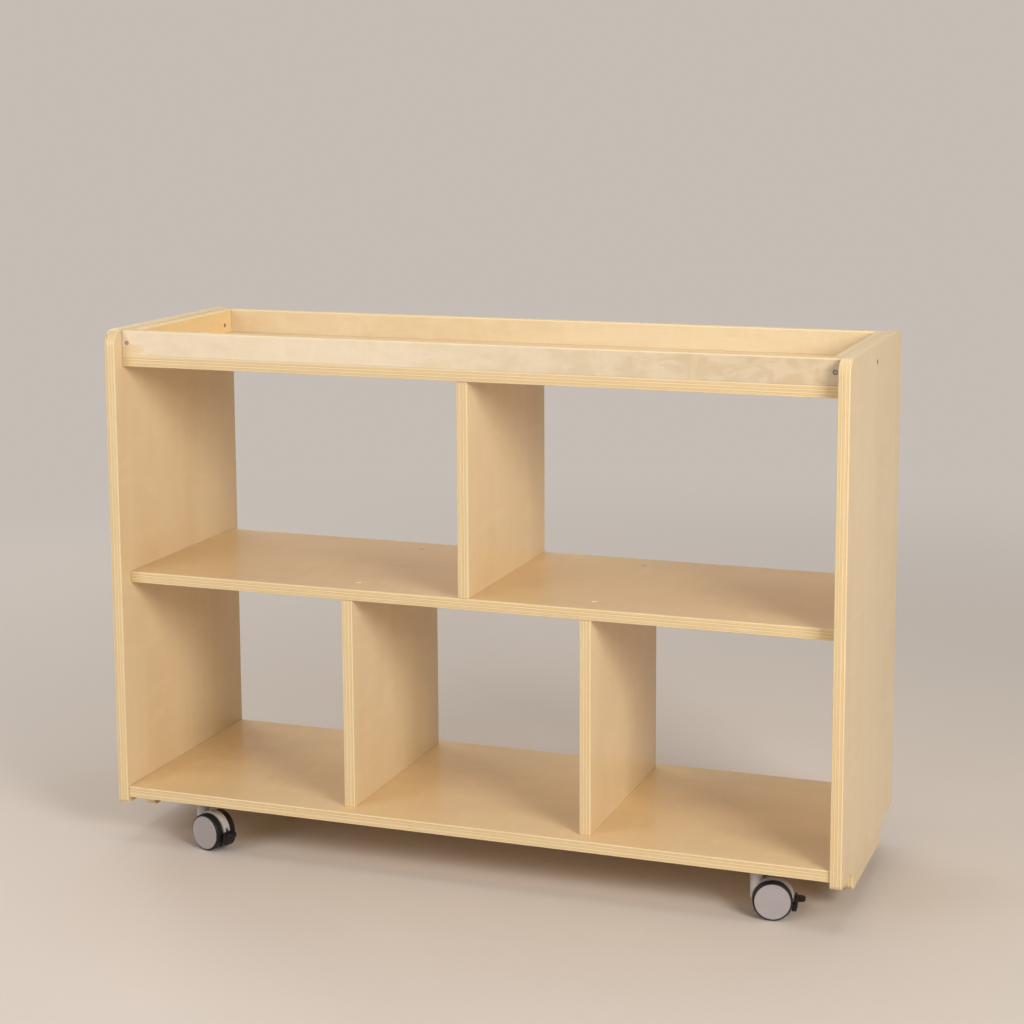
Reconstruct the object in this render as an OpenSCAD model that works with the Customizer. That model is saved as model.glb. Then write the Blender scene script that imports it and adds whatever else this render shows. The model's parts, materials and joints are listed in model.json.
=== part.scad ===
// Open classroom shelf on four braked casters.
// Two side panels carry three shelves: two bays above, three bays below and a
// rimmed tray on top. The origin is on the floor, under the middle of the shelf.
// X runs along the width, -Y is the front and Z is up. All sizes are millimetres.

/* [Cabinet] */
// Overall width, over the side panels
cabinet_w = 1200; // [1000:10:1400]
// Overall depth, the depth of a side panel
cabinet_d = 410; // [360:5:480]
// Thickness of the plywood in panels, shelves and dividers
board_t = 18; // [16:0.5:21]
// Radius of the eased long edges of shelves and dividers
arris_r = 1.5; // [0.5:0.25:3]

/* [Shelves] */
// Clear height of the lower bays
lower_bay_h = 338; // [260:1:420]
// Clear height of the upper bays
upper_bay_h = 338; // [260:1:420]
// How far the bottom shelf stands back from the panels, front and rear
bottom_setback = 4; // [2:0.5:12]
// How far the middle shelf and the dividers stand back at the front
middle_setback = 30; // [20:1:45]
// How far the middle shelf, dividers and tray stand back at the rear
rear_setback = 22; // [12:1:40]

/* [Tray] */
// How far the top shelf and its front rail stand back at the front
tray_setback = 25; // [15:1:40]
// Height of the tray rails above the top shelf
rail_h = 40; // [32:1:60]
// Thickness of the tray rails
rail_t = 18; // [14:0.5:22]
// Radius of the eased top edges of the tray rails
rail_edge_r = 3; // [1:0.5:5]
// Height of the side panels above the rails
panel_rise = 2; // [0:0.5:8]

/* [Side panels] */
// Radius of the two top corners
top_corner_r = 24; // [12:1:40]
// Radius of the lower corners of both feet
foot_corner_r = 8; // [3:1:9]
// How far the feet reach below the bottom shelf
foot_drop = 10; // [4:1:14]
// Height of the step between the feet and the deeper middle of a panel
step_h = 31; // [24:1:40]
// Length of the front foot, up to the step
front_foot = 86; // [60:1:110]
// Length of the rear foot, up to the step
rear_foot = 94; // [60:1:110]
// Radius of the two curves of each step
step_r = 12; // [5:1:12]

/* [Joinery] */
// Diameter of the dowels between shelves and side panels
dowel_d = 8; // [6:0.5:10]
// Length of those dowels
dowel_len = 32; // [26:1:40]
// How deep a dowel sits in the side panel
dowel_in_panel = 11; // [8:0.5:13]
// Distance of the outer dowels from a shelf's front and rear edges
dowel_inset = 45; // [35:1:70]
// Shank diameter of the divider screws
divider_screw_d = 5; // [4:0.5:6]
// Length of the divider screws
divider_screw_len = 50; // [40:1:60]
// Head diameter of the divider screws
divider_head_d = 9; // [8:0.5:10]
// Distance of the divider screws from a divider's front and rear edges
divider_screw_inset = 48; // [30:1:70]
// Thickness of the wooden plugs over the screw heads
plug_t = 3; // [2:0.5:4]
// Shank diameter of the tray and side screws
tray_screw_d = 4; // [3:0.25:4.5]
// Head diameter of the tray and side screws
tray_head_d = 7.5; // [6.5:0.25:8.5]
// How deep the corner screws of the rails reach into the end rails
corner_screw_grip = 20; // [14:1:21]
// How deep the end rails' own screws reach into the side panels
end_screw_grip = 12; // [8:1:13]
// How deep the side panels' screws reach into the end rails
side_screw_grip = 11; // [8:1:12]
// Height of the end rail screws above the top shelf
end_screw_lift = 14; // [10:1:20]
// Distance of an end rail's own screws from its ends
end_screw_inset = 25; // [24:1:60]
// How deep the screws from the top shelf reach into the rails
floor_screw_grip = 22; // [14:1:24]
// Spacing of those screws along a rail
floor_screw_pitch = 250; // [200:5:300]

/* [Caster mounting] */
// Height from the floor to the bottom shelf
caster_h = 78; // [76:0.5:86]
// Distance of a swivel axis from the outer face of the near side panel
caster_side_inset = 135; // [110:1:180]
// Distance of a swivel axis from the front or rear edge of the panels
caster_end_inset = 38; // [37:1:70]
// Side of the square mounting plate
plate_side = 42; // [40:0.5:50]
// Thickness of the mounting plate
plate_t = 2.5; // [2:0.25:3.5]
// Corner radius of the mounting plate
plate_corner_r = 5; // [2:0.5:8]
// Spacing of the four plate screws
plate_screw_pitch = 31; // [30:0.5:33]
// Shank diameter of the plate screws
plate_screw_d = 4; // [3.5:0.25:4.5]
// Length of the plate screws under their heads
plate_screw_len = 16; // [12:1:17]
// Head diameter of the plate screws
plate_head_d = 7.5; // [6.5:0.25:8]
// Head height of the plate screws
plate_head_h = 2.2; // [1.5:0.1:2.8]

/* [Casters] */
// Diameter of the wheels
wheel_d = 60; // [56:0.5:62]
// Width of one wheel
wheel_w = 14; // [12:0.5:18]
// Radius of the tread's edges
tread_r = 2.5; // [1:0.5:2.5]
// Width of the tread that shows round the cap
cap_margin = 3; // [2.5:0.25:5]
// Thickness of the cap
cap_t = 2.4; // [1.8:0.2:3]
// How far the cap stands out of the wheel
cap_proud = 0.8; // [0.4:0.1:1.2]
// Distance from the swivel axis to the wheel axle
trail = 24; // [20:0.5:28]
// Width of the housing between the wheels
housing_w = 12; // [11:0.5:15]
// Gap between the housing and each wheel
wheel_gap = 0.5; // [0.3:0.1:1]
// How far the hood stands out beyond the wheels
hood_rise = 2; // [1:0.25:3]
// Diameter of the neck round the kingpin
neck_d = 20; // [18:0.5:22]
// Diameter of the kingpin
kingpin_d = 8; // [7:0.5:9]
// Length of the kingpin
kingpin_len = 34; // [30:0.5:36]
// Diameter of the wheel axle
axle_d = 6; // [5:0.5:7]
// Diameter of the heads on the axle's ends
axle_head_d = 9.5; // [8.5:0.5:10]
// Thickness of the heads on the axle's ends
axle_head_t = 1.5; // [1:0.1:1.8]

/* [Brake levers] */
// How far the lever turns down to lock the wheels, in degrees
brake_angle = 10; // [6:1:12]
// Lever pivot behind the wheel axle
pivot_back = 22; // [21:0.25:23]
// Lever pivot above the wheel axle
pivot_up = 4; // [3:0.25:5]
// Diameter of the lever's pivot studs
stud_d = 4; // [3:0.25:4.5]
// Thickness of the lever's web
lever_web_t = 5; // [4:0.25:5.5]
// Width of the brake shoe
shoe_w = 24; // [18:1:32]
// Thickness of the brake shoe
shoe_t = 6; // [4.5:0.25:7]
// Width of the foot tab
tab_w = 17; // [16.5:0.5:22]
// Thickness of the foot tab
tab_t = 5; // [3.5:0.25:6]
// Length of the foot tab behind the hood
tab_len = 16; // [9:0.5:18]
// Radius of the foot tab's corners
tab_r = 8; // [3:0.5:8]

/* [Caster directions] */
// Direction in which the front left caster trails, in degrees from +X
front_left_turn = -18; // [-180:1:180]
// Direction in which the front right caster trails
front_right_turn = 12; // [-180:1:180]
// Direction in which the rear left caster trails
rear_left_turn = -7; // [-180:1:180]
// Direction in which the rear right caster trails
rear_right_turn = 9; // [-180:1:180]

/* [Fits] */
// Radial clearance of pins, dowels and screws in their holes
pin_fit = 0.05; // [0.02:0.01:0.1]
// Gap between the mounting plate and the neck that turns under it
swivel_gap = 0.3; // [0.2:0.05:0.6]
// Gap left between the brake shoe and the tread when the lever is down
shoe_gap = 0.35; // [0.2:0.05:0.6]

/* [Hidden] */
$fn = 64;
// Overshoot of a cutting shape past the face that it opens
cut = 1;

// Colours
birch = [0.91, 0.80, 0.62];
beech = [0.80, 0.66, 0.45];
zinc = [0.62, 0.62, 0.64];
pale_grey = [0.78, 0.77, 0.76];
cap_grey = [0.66, 0.63, 0.64];
black = [0.08, 0.08, 0.09];

// Heights of the shelves' lower faces, from the floor
bottom_z = caster_h;
middle_z = bottom_z + board_t + lower_bay_h;
top_z = middle_z + board_t + upper_bay_h;
tray_floor_z = top_z + board_t;
rail_top_z = tray_floor_z + rail_h;
panel_top_z = rail_top_z + panel_rise;
shelf_z = [bottom_z, middle_z, top_z];

// Front and rear edges of each shelf
front_y = -cabinet_d / 2;
rear_y = cabinet_d / 2;
shelf_front = [front_y + bottom_setback, front_y + middle_setback, front_y + tray_setback];
shelf_rear = [rear_y - bottom_setback, rear_y - rear_setback, rear_y - rear_setback];

// Clear width between the side panels, and the dividers' places along X
clear_w = cabinet_w - 2 * board_t;
lower_bay_w = (clear_w - 2 * board_t) / 3;
lower_divider_x = (lower_bay_w + board_t) / 2;
divider_front = shelf_front[1];
divider_rear = shelf_rear[1];
divider_screw_ys = [divider_front + divider_screw_inset, divider_rear - divider_screw_inset];

// Plan of the tray rails
rail_front = shelf_front[2];
rail_rear = shelf_rear[2];
end_rail_front = rail_front + rail_t;
end_rail_rear = rail_rear - rail_t;
end_rail_x = clear_w / 2 - rail_t;
end_screw_ys = [end_rail_front + end_screw_inset, end_rail_rear - end_screw_inset];
end_screw_z = tray_floor_z + end_screw_lift;
corner_screw_z = tray_floor_z + rail_h / 2;
side_screw_z = tray_floor_z + end_screw_lift;
corner_screw_len = rail_t + corner_screw_grip;
end_screw_len = rail_t + end_screw_grip;
side_screw_len = board_t + side_screw_grip;
floor_screw_len = board_t + floor_screw_grip;
floor_screw_xs = [for (i = [0:3]) (i - 1.5) * floor_screw_pitch];

// Depth of a countersunk head, and the hole kept below a screw's tip
divider_head_h = (divider_head_d - divider_screw_d) / 2;
tray_head_h = (tray_head_d - tray_screw_d) / 2;
tip_room = 0.5;
drive_w = 0.9;

// Caster heights and planes, in the caster's own frame: +X trails from the neck
wheel_r = wheel_d / 2;
axle_z = wheel_r;
cap_r = wheel_r - cap_margin;
hood_r = wheel_r + hood_rise;
housing_half = housing_w / 2;
wheel_y = housing_half + wheel_gap;
plate_z = caster_h - plate_t;
neck_top = plate_z - swivel_gap;
kingpin_tip = caster_h - kingpin_len;
bead_proud = 0.6;
bead_r = kingpin_d / 2 + bead_proud;
bead_h = 2;
kingpin_flange = 2;
kingpin_head_r = kingpin_d / 2 + kingpin_flange;
kingpin_head_h = 1.5;
cap_seat = cap_t - cap_proud;
axle_end_room = 0.4;
axle_play = 0.3;
axle_recess = axle_head_t + axle_end_room + axle_play;
cap_ring_room = 2.4;
cap_ring_r = axle_head_d / 2 + cap_ring_room;
cap_ring_t = 1.6;
cap_ring_h = 3;
hub_t = 1.2;
hub_r = cap_ring_r + cap_ring_t + hub_t;
rim_t = 3;
rim_r = cap_r - rim_t;
web_recess = 5;
cap_edge_r = 0.7;
// The hood ends this far below the axle, and a boss goes round the axle
hood_skirt = 4;
boss_t = 5;
boss_r = axle_d / 2 + boss_t;
wheel_room = 1;

// Brake lever, in the caster's own frame
pivot = [trail + pivot_back, axle_z + pivot_up];
lever_boss_t = 2.2;
lever_boss_r = stud_d / 2 + lever_boss_t;
lever_room = 0.5;
slot_play = 0.3;
slot_half = lever_web_t / 2 + slot_play;
stud_inset = 0.6;
stud_half = housing_half - stud_inset;
hood_room = 1;
shoe_start = 7;
shoe_end = -31;
shoe_corner_r = 7;
// Where the axle's centre would be, seen from the lever, once the lever is down
locked_axle = [
    pivot[0] + cos(brake_angle) * (trail - pivot[0]) - sin(brake_angle) * (axle_z - pivot[1]),
    pivot[1] + sin(brake_angle) * (trail - pivot[0]) + cos(brake_angle) * (axle_z - pivot[1])
];
locked_r = wheel_r + shoe_gap;
shoe_low = axle_z + (locked_r + shoe_t) * sin(shoe_end);
tab_start = trail + hood_r + hood_room;

// Place, direction and outward side of each caster
caster_x = cabinet_w / 2 - caster_side_inset;
caster_y = cabinet_d / 2 - caster_end_inset;
FL = [-caster_x, -caster_y, front_left_turn, -1];
FR = [caster_x, -caster_y, front_right_turn, -1];
RL = [-caster_x, caster_y, rear_left_turn, 1];
RR = [caster_x, caster_y, rear_right_turn, 1];

// Flat shapes

// What to cut from a convex corner at the origin, with the board along +x and +y
module round_off(r) {
    difference() {
        translate([-cut, -cut])
            square(r + cut);
        translate([r, r])
            circle(r);
    }
}

// What to add in a hollow corner at the origin, with boards beyond +x and +y
module fill_in(r) {
    difference() {
        translate([-r, -r])
            square(r + cut);
        translate([-r, -r])
            circle(r);
    }
}

// Rectangle from the origin with its chosen corners eased:
// low left, low right, top right, top left
module eased(w, h, r, corners) {
    difference() {
        square([w, h]);
        if (corners[0])
            round_off(r);
        if (corners[1])
            translate([w, 0])
                mirror([1, 0])
                    round_off(r);
        if (corners[2])
            translate([w, h])
                rotate(180)
                    round_off(r);
        if (corners[3])
            translate([0, h])
                mirror([0, 1])
                    round_off(r);
    }
}

// Stretches a profile drawn in Y and Z along X
module along_x(length) {
    rotate([90, 0, 90])
        linear_extrude(length)
            children();
}

// Stretches a profile drawn in X and Z along Y
module along_y(length) {
    translate([0, length, 0])
        rotate([90, 0, 0])
            linear_extrude(length)
                children();
}

// Side panel seen from its side, in Y and Z: feet at both ends, a deeper middle
module panel_outline() {
    foot_z = bottom_z - foot_drop;
    skirt_z = foot_z - step_h;
    step_front = front_y + front_foot;
    step_rear = rear_y - rear_foot;
    translate([front_y, foot_z])
        difference() {
            square([cabinet_d, panel_top_z - foot_z]);
            round_off(foot_corner_r);
            translate([cabinet_d, 0])
                mirror([1, 0])
                    round_off(foot_corner_r);
            translate([cabinet_d, panel_top_z - foot_z])
                rotate(180)
                    round_off(top_corner_r);
            translate([0, panel_top_z - foot_z])
                mirror([0, 1])
                    round_off(top_corner_r);
        }
    translate([step_front, skirt_z])
        eased(step_rear - step_front, foot_z - skirt_z + cut, step_r, [true, true, false, false]);
    translate([step_front, foot_z])
        fill_in(step_r);
    translate([step_rear, foot_z])
        mirror([1, 0])
            fill_in(step_r);
}

// Fasteners, each hanging down from its head's top face at the origin

// Countersunk screw with a cross recess
module screw(length, d, head_d) {
    head_h = (head_d - d) / 2;
    difference() {
        union() {
            translate([0, 0, -head_h])
                cylinder(h = head_h, r1 = d / 2, r2 = head_d / 2);
            translate([0, 0, -length])
                cylinder(h = length - head_h, r = d / 2);
        }
        for (a = [0, 90])
            rotate([0, 0, a])
                translate([-head_d / 4, -drive_w / 2, -head_h / 2])
                    cube([head_d / 2, drive_w, head_h / 2 + cut]);
    }
}

// Hole for that screw, open above its head
module screw_room(length, d, head_d, above = cut) {
    head_h = (head_d - d) / 2;
    translate([0, 0, -head_h])
        cylinder(h = head_h, r1 = d / 2 + pin_fit, r2 = head_d / 2 + pin_fit);
    cylinder(h = above, r = head_d / 2 + pin_fit);
    translate([0, 0, -length - tip_room])
        cylinder(h = length - head_h + tip_room, r = d / 2 + pin_fit);
}

// Places of the fasteners

// Dowels, pointing outward from the joint on the +X side of each shelf
module at_dowels() {
    for (s = [0:2])
        for (y = [shelf_front[s] + dowel_inset, (shelf_front[s] + shelf_rear[s]) / 2, shelf_rear[s] - dowel_inset])
            translate([clear_w / 2 + dowel_in_panel - dowel_len, y, shelf_z[s] + board_t / 2])
                rotate([0, 90, 0])
                    children();
}

// Divider screws driven down through the middle shelf and the top shelf
module at_upper_heads() {
    for (y = divider_screw_ys) {
        for (x = [-lower_divider_x, lower_divider_x])
            translate([x, y, middle_z + board_t])
                children();
        translate([0, y, tray_floor_z])
            children();
    }
}

// Divider screws driven up through the bottom shelf and the middle shelf
module at_lower_heads() {
    for (y = divider_screw_ys) {
        for (x = [-lower_divider_x, lower_divider_x])
            translate([x, y, bottom_z])
                mirror([0, 0, 1])
                    children();
        translate([0, y, middle_z])
            mirror([0, 0, 1])
                children();
    }
}

// Screws through the front and back rails into the ends of the end rails
module at_corners() {
    for (side = [-1, 1]) {
        translate([side * (end_rail_x + rail_t / 2), rail_front, corner_screw_z])
            rotate([90, 0, 0])
                children();
        translate([side * (end_rail_x + rail_t / 2), rail_rear, corner_screw_z])
            rotate([-90, 0, 0])
                children();
    }
}

// Screws from the tray's inside through the end rails into the side panels
module at_end_rails() {
    for (side = [-1, 1])
        for (y = end_screw_ys)
            translate([side * end_rail_x, y, end_screw_z])
                rotate([0, -90 * side, 0])
                    children();
}

// One screw from outside through each side panel into the end rail
module at_sides() {
    for (side = [-1, 1])
        translate([side * cabinet_w / 2, 0, side_screw_z])
            rotate([0, 90 * side, 0])
                children();
}

// Screws up through the top shelf into the front and back rails
module at_tray_floor() {
    for (x = floor_screw_xs)
        for (y = [rail_front + rail_t / 2, rail_rear - rail_t / 2])
            translate([x, y, top_z])
                mirror([0, 0, 1])
                    children();
}

// Screws up through the caster plates into the bottom shelf
module at_plate_screws() {
    for (caster = [FL, FR, RL, RR])
        translate([caster[0], caster[1], plate_z])
            for (i = [-1, 1])
                for (j = [-1, 1])
                    translate([i * plate_screw_pitch / 2, j * plate_screw_pitch / 2, 0])
                        mirror([0, 0, 1])
                            children();
}

// Puts a plate or kingpin, which don't turn, in its place under the shelf
module at_plate(caster) {
    translate([caster[0], caster[1], 0])
        children();
}

// Puts a piece drawn in a caster's own frame in its place under the shelf
module at_caster(caster) {
    translate([caster[0], caster[1], 0])
        rotate([0, 0, caster[2]])
            children();
}

// Moves a piece of a wheel, drawn with its inner face up to +Z, onto the axle
module on_axle(side) {
    translate([trail, side * wheel_y, axle_z])
        rotate([-90 * side, 0, 0])
            children();
}

// Boards

module dowel_holes() {
    at_dowels()
        translate([0, 0, -tip_room])
            cylinder(h = dowel_len + 2 * tip_room, r = dowel_d / 2 + pin_fit);
}

// Side panel on the +X side
module side_panel() {
    difference() {
        translate([clear_w / 2, 0, 0])
            along_x(board_t)
                panel_outline();
        dowel_holes();
        at_end_rails()
            screw_room(end_screw_len, tray_screw_d, tray_head_d);
        at_sides()
            screw_room(side_screw_len, tray_screw_d, tray_head_d);
    }
}

// Shelf number s: 0 at the bottom, 1 in the middle, 2 under the tray
module shelf(s, top_eased) {
    translate([-clear_w / 2, shelf_front[s], shelf_z[s]])
        along_x(clear_w)
            eased(shelf_rear[s] - shelf_front[s], board_t, arris_r, [true, true, top_eased, top_eased]);
}

module divider(x, z, h) {
    difference() {
        translate([x - board_t / 2, divider_front, z])
            linear_extrude(h)
                eased(board_t, divider_rear - divider_front, arris_r, [true, true, true, true]);
        at_upper_heads()
            translate([0, 0, -plug_t])
                screw_room(divider_screw_len, divider_screw_d, divider_head_d);
        at_lower_heads()
            screw_room(divider_screw_len, divider_screw_d, divider_head_d);
    }
}

// Rail that stands along the front or back edge of the top shelf
module long_rail(y) {
    difference() {
        translate([-clear_w / 2, y, tray_floor_z])
            along_x(clear_w)
                eased(rail_t, rail_h, rail_edge_r, [false, false, true, true]);
        at_corners()
            screw_room(corner_screw_len, tray_screw_d, tray_head_d);
        at_tray_floor()
            screw_room(floor_screw_len, tray_screw_d, tray_head_d);
    }
}

// End rail on the +X side
module end_rail() {
    difference() {
        translate([end_rail_x, end_rail_front, tray_floor_z])
            along_y(end_rail_rear - end_rail_front)
                eased(rail_t, rail_h, rail_edge_r, [false, false, true, true]);
        at_corners()
            screw_room(corner_screw_len, tray_screw_d, tray_head_d);
        at_end_rails()
            screw_room(end_screw_len, tray_screw_d, tray_head_d);
        at_sides()
            screw_room(side_screw_len, tray_screw_d, tray_head_d);
    }
}

// Caster pieces, in the caster's own frame: neck on the Z axis, trailing to +X

module plate_shape() {
    difference() {
        translate([-plate_side / 2, -plate_side / 2, plate_z])
            linear_extrude(plate_t)
                eased(plate_side, plate_side, plate_corner_r, [true, true, true, true]);
        translate([0, 0, plate_z - cut])
            cylinder(h = plate_t + 2 * cut, r = kingpin_d / 2 + pin_fit);
        translate([0, 0, caster_h - kingpin_head_h])
            cylinder(h = kingpin_head_h + cut, r = kingpin_head_r + pin_fit);
        for (i = [-1, 1])
            for (j = [-1, 1])
                translate([i * plate_screw_pitch / 2, j * plate_screw_pitch / 2, plate_z - cut])
                    cylinder(h = plate_t + 2 * cut, r = plate_screw_d / 2 + pin_fit);
    }
}

module kingpin_shape() {
    translate([0, 0, kingpin_tip])
        cylinder(h = kingpin_len, r = kingpin_d / 2);
    translate([0, 0, caster_h - kingpin_head_h])
        cylinder(h = kingpin_head_h, r = kingpin_head_r);
    translate([0, 0, kingpin_tip + bead_h])
        cylinder(h = bead_h, r = bead_r);
}

// Housing: a web between the wheels that carries the neck, the axle and the lever
module housing_shape() {
    difference() {
        union() {
            translate([0, 0, axle_z])
                cylinder(h = neck_top - axle_z, r = neck_d / 2);
            translate([0, -housing_half, 0])
                along_y(housing_w)
                    housing_profile();
        }
        // room for the wheels on both sides of the web
        for (side = [-1, 1])
            translate([trail, side * housing_half, axle_z])
                rotate([-90 * side, 0, 0])
                    cylinder(h = neck_d, r = wheel_r + wheel_room);
        // kingpin bore with a groove for the pin's bead
        translate([0, 0, kingpin_tip - tip_room])
            cylinder(h = kingpin_len, r = kingpin_d / 2 + pin_fit);
        translate([0, 0, kingpin_tip + bead_h - swivel_gap])
            cylinder(h = bead_h + 2 * swivel_gap, r = bead_r + pin_fit);
        // axle bore
        translate([trail, -housing_w, axle_z])
            rotate([-90, 0, 0])
                cylinder(h = 2 * housing_w, r = axle_d / 2 + pin_fit);
        // slot for the lever's web, and the bores for its studs
        translate([0, -slot_half, 0])
            along_y(2 * slot_half)
                slot_profile();
        translate([pivot[0], -stud_half - pin_fit, pivot[1]])
            rotate([-90, 0, 0])
                cylinder(h = 2 * (stud_half + pin_fit), r = stud_d / 2 + pin_fit);
    }
}

module housing_profile() {
    intersection() {
        translate([trail, axle_z])
            circle(hood_r);
        translate([trail - 2 * hood_r, axle_z - hood_skirt])
            square([4 * hood_r, 2 * hood_r]);
    }
    translate([trail, axle_z])
        circle(boss_r);
}

module slot_profile() {
    slot_r = lever_boss_r + lever_room;
    translate(pivot)
        circle(slot_r);
    translate([pivot[0] - slot_r, axle_z - hood_r])
        square([hood_r, pivot[1] - axle_z + hood_r]);
    translate([pivot[0], pivot[1] - slot_r])
        square([hood_r, 2 * slot_r]);
}

module axle_shape() {
    half = wheel_y + wheel_w - cap_seat - axle_end_room;
    translate([trail, 0, axle_z])
        rotate([-90, 0, 0]) {
            translate([0, 0, -half])
                cylinder(h = 2 * half, r = axle_d / 2);
            for (side = [-1, 1])
                translate([0, 0, side * (half - axle_head_t / 2) - axle_head_t / 2])
                    cylinder(h = axle_head_t, r = axle_head_d / 2);
        }
}

// Wheel from its inner face at Z = 0 to its outer face
module wheel_shape() {
    difference() {
        rotate_extrude()
            eased(wheel_r, wheel_w, tread_r, [false, true, true, false]);
        translate([0, 0, -cut])
            cylinder(h = wheel_w + 2 * cut, r = axle_d / 2 + pin_fit);
        translate([0, 0, wheel_w - cap_seat])
            cylinder(h = cap_seat + cut, r = cap_r + pin_fit);
        translate([0, 0, wheel_w - cap_seat - axle_recess])
            cylinder(h = axle_recess + cut, r = axle_head_d / 2 + axle_play);
        translate([0, 0, wheel_w - cap_seat - cap_ring_h - tip_room])
            difference() {
                cylinder(h = cap_ring_h + tip_room + cut, r = cap_ring_r + cap_ring_t + pin_fit);
                translate([0, 0, -cut])
                    cylinder(h = cap_ring_h + tip_room + 3 * cut, r = cap_ring_r - pin_fit);
            }
        translate([0, 0, -cut])
            difference() {
                cylinder(h = web_recess + cut, r = rim_r);
                translate([0, 0, -cut])
                    cylinder(h = web_recess + 3 * cut, r = hub_r);
            }
    }
}

// Cap, seated in the wheel's outer face and held by a ring round the hub
module cap_shape() {
    translate([0, 0, wheel_w - cap_seat])
        rotate_extrude()
            eased(cap_r, cap_t, cap_edge_r, [false, false, true, false]);
    translate([0, 0, wheel_w - cap_seat - cap_ring_h])
        difference() {
            cylinder(h = cap_ring_h, r = cap_ring_r + cap_ring_t);
            translate([0, 0, -cut])
                cylinder(h = cap_ring_h + cut, r = cap_ring_r);
        }
}

// Brake lever: a web on two studs, a shoe that wraps the treads and a foot tab
module lever_shape() {
    translate([0, -lever_web_t / 2, 0])
        along_y(lever_web_t)
            lever_web_profile();
    translate([pivot[0], -stud_half, pivot[1]])
        rotate([-90, 0, 0])
            cylinder(h = 2 * stud_half, r = stud_d / 2);
    difference() {
        union() {
            intersection() {
                translate([0, -shoe_w / 2, 0])
                    along_y(shoe_w)
                        shoe_profile();
                translate([trail, -shoe_w / 2, shoe_low])
                    along_x(2 * hood_r)
                        eased(shoe_w, wheel_d, shoe_corner_r, [true, true, false, false]);
            }
            translate([tab_start, -tab_w / 2, axle_z - tab_t / 2])
                linear_extrude(tab_t)
                    eased(tab_len, tab_w, tab_r, [false, true, true, false]);
        }
        translate([0, -shoe_w, 0])
            along_y(2 * shoe_w) {
                hood_space(0, hood_room);
                hood_space(brake_angle, lever_room);
            }
    }
}

// Space that the hood takes up, seen from a lever that is turned down by an angle
module hood_space(angle, room) {
    translate(pivot)
        rotate(angle)
            translate(-pivot)
                intersection() {
                    translate([trail, axle_z])
                        circle(hood_r + room);
                    translate([trail, axle_z - hood_skirt - room])
                        square([2 * hood_r, 2 * hood_r]);
                }
}

module lever_web_profile() {
    difference() {
        union() {
            translate(pivot)
                circle(lever_boss_r);
            polygon([
                [pivot[0], pivot[1] + lever_boss_r],
                [tab_start + cut, axle_z + tab_t / 2],
                [tab_start + 2 * cut, axle_z - tab_t / 2],
                [tab_start - cut, axle_z - 2 * tab_t],
                [pivot[0], pivot[1] - lever_boss_r]
            ]);
        }
        translate(locked_axle)
            circle(boss_r + lever_room);
    }
}

module shoe_profile() {
    reach = 2 * hood_r;
    difference() {
        intersection() {
            translate(locked_axle)
                circle(locked_r + shoe_t);
            translate([trail, axle_z])
                polygon([[0, 0], reach * [cos(shoe_start), sin(shoe_start)], reach * [1, -0.2],
                    reach * [cos(shoe_end), sin(shoe_end)]]);
        }
        translate(locked_axle)
            circle(locked_r);
    }
}

// Sub-parts

module side_panel_left() {
    color(birch)
        mirror([1, 0, 0])
            side_panel();
}

module side_panel_right() {
    color(birch)
        side_panel();
}

module bottom_shelf() {
    color(birch)
        difference() {
            shelf(0, true);
            both_sides()
                dowel_holes();
            at_lower_heads()
                screw_room(divider_screw_len, divider_screw_d, divider_head_d);
            at_plate_screws()
                translate([0, 0, -plate_screw_len - tip_room])
                    cylinder(h = plate_screw_len + tip_room, r = plate_screw_d / 2 + pin_fit);
        }
}

module middle_shelf() {
    color(birch)
        difference() {
            shelf(1, true);
            both_sides()
                dowel_holes();
            at_upper_heads()
                translate([0, 0, -plug_t])
                    screw_room(divider_screw_len, divider_screw_d, divider_head_d, plug_t + cut);
            at_lower_heads()
                screw_room(divider_screw_len, divider_screw_d, divider_head_d);
        }
}

module top_shelf() {
    color(birch)
        difference() {
            shelf(2, false);
            both_sides()
                dowel_holes();
            at_upper_heads()
                translate([0, 0, -plug_t])
                    screw_room(divider_screw_len, divider_screw_d, divider_head_d, plug_t + cut);
            at_tray_floor()
                screw_room(floor_screw_len, tray_screw_d, tray_head_d);
        }
}

// Draws its children and their mirror image across the middle
module both_sides() {
    children();
    mirror([1, 0, 0])
        children();
}

module upper_divider() {
    color(birch)
        divider(0, middle_z + board_t, upper_bay_h);
}

module lower_divider_left() {
    color(birch)
        divider(-lower_divider_x, bottom_z + board_t, lower_bay_h);
}

module lower_divider_right() {
    color(birch)
        divider(lower_divider_x, bottom_z + board_t, lower_bay_h);
}

module tray_front_rail() {
    color(birch)
        long_rail(rail_front);
}

module tray_back_rail() {
    color(birch)
        long_rail(rail_rear - rail_t);
}

module tray_end_rail_left() {
    color(birch)
        mirror([1, 0, 0])
            end_rail();
}

module tray_end_rail_right() {
    color(birch)
        end_rail();
}

module shelf_dowels() {
    color(beech)
        both_sides()
            at_dowels()
                cylinder(h = dowel_len, r = dowel_d / 2);
}

module divider_screws() {
    color(zinc) {
        at_upper_heads()
            translate([0, 0, -plug_t])
                screw(divider_screw_len, divider_screw_d, divider_head_d);
        at_lower_heads()
            screw(divider_screw_len, divider_screw_d, divider_head_d);
    }
}

module screw_plugs() {
    color(birch)
        at_upper_heads()
            translate([0, 0, -plug_t])
                cylinder(h = plug_t, r = divider_head_d / 2);
}

module tray_corner_screws() {
    color(zinc)
        at_corners()
            screw(corner_screw_len, tray_screw_d, tray_head_d);
}

module tray_end_screws() {
    color(zinc)
        at_end_rails()
            screw(end_screw_len, tray_screw_d, tray_head_d);
}

module side_panel_screws() {
    color(black)
        at_sides()
            screw(side_screw_len, tray_screw_d, tray_head_d);
}

module tray_floor_screws() {
    color(zinc)
        at_tray_floor()
            screw(floor_screw_len, tray_screw_d, tray_head_d);
}

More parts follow.
